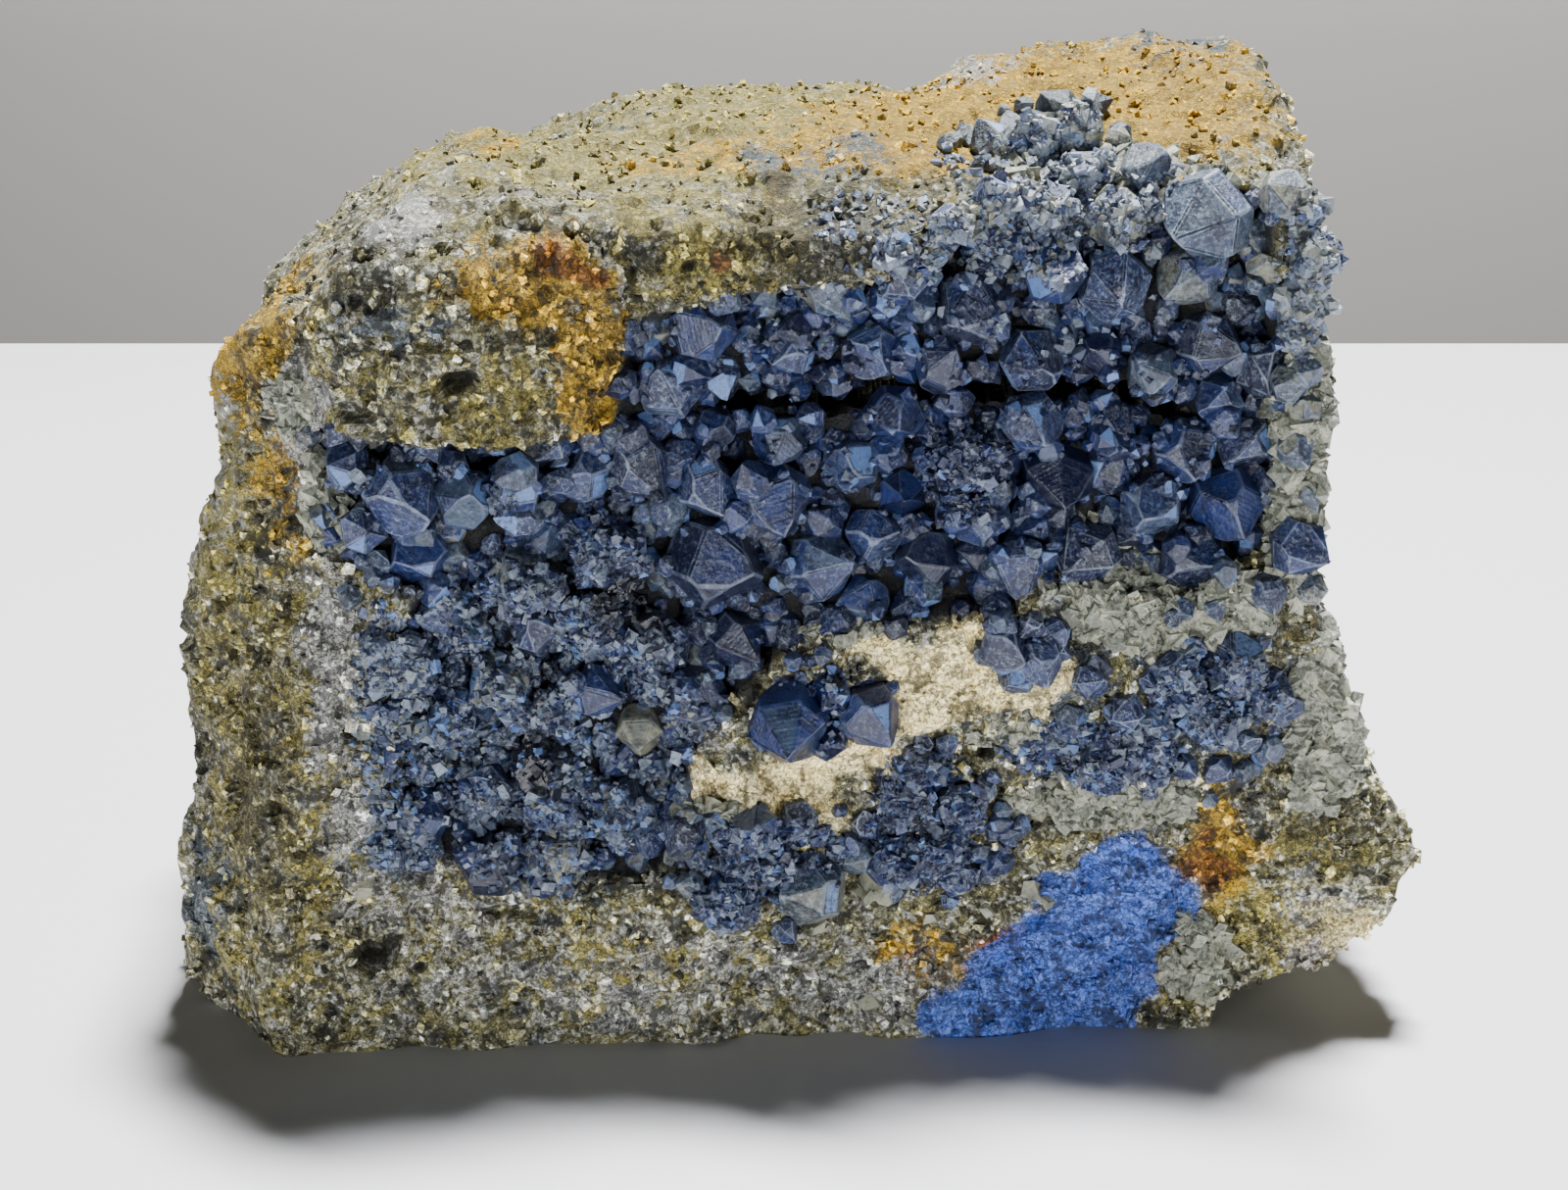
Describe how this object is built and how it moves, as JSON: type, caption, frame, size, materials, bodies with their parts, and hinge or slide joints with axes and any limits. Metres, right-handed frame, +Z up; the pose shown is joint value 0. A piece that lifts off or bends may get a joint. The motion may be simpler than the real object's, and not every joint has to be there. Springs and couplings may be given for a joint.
{
  "type": "blue quartz specimen on matrix",
  "caption": "Rough block of pale granular matrix on a sawn flat base, with a shallow hollow in its front lined by stubby blue quartz crystals and smaller clusters around it.",
  "frame": {"origin": "middle of the block's footprint, on the plane of the sawn base", "axes": "+X to the right along the long side, -Y towards the crystal face, +Z up"},
  "size_m": [0.0906, 0.0473, 0.0681],
  "materials": {
    "matrix": "granular, matt, stained with ochre and with a powdery blue patch",
    "blue_quartz": "glassy, slightly clear, dark blue inside with pale rims",
    "grey_quartz": "glassy, grey-blue, slightly clear"
  },
  "bodies": {
    "root": {"matrix_rock": "matrix", "quartz_main_druse": "blue_quartz", "quartz_centre_cluster": "blue_quartz", "quartz_pair_cluster": "blue_quartz", "quartz_foot_cluster": "blue_quartz", "quartz_knoll_cluster": "blue_quartz", "quartz_right_cluster": "blue_quartz", "quartz_top_cluster": "grey_quartz"}
  },
  "joints": []
}
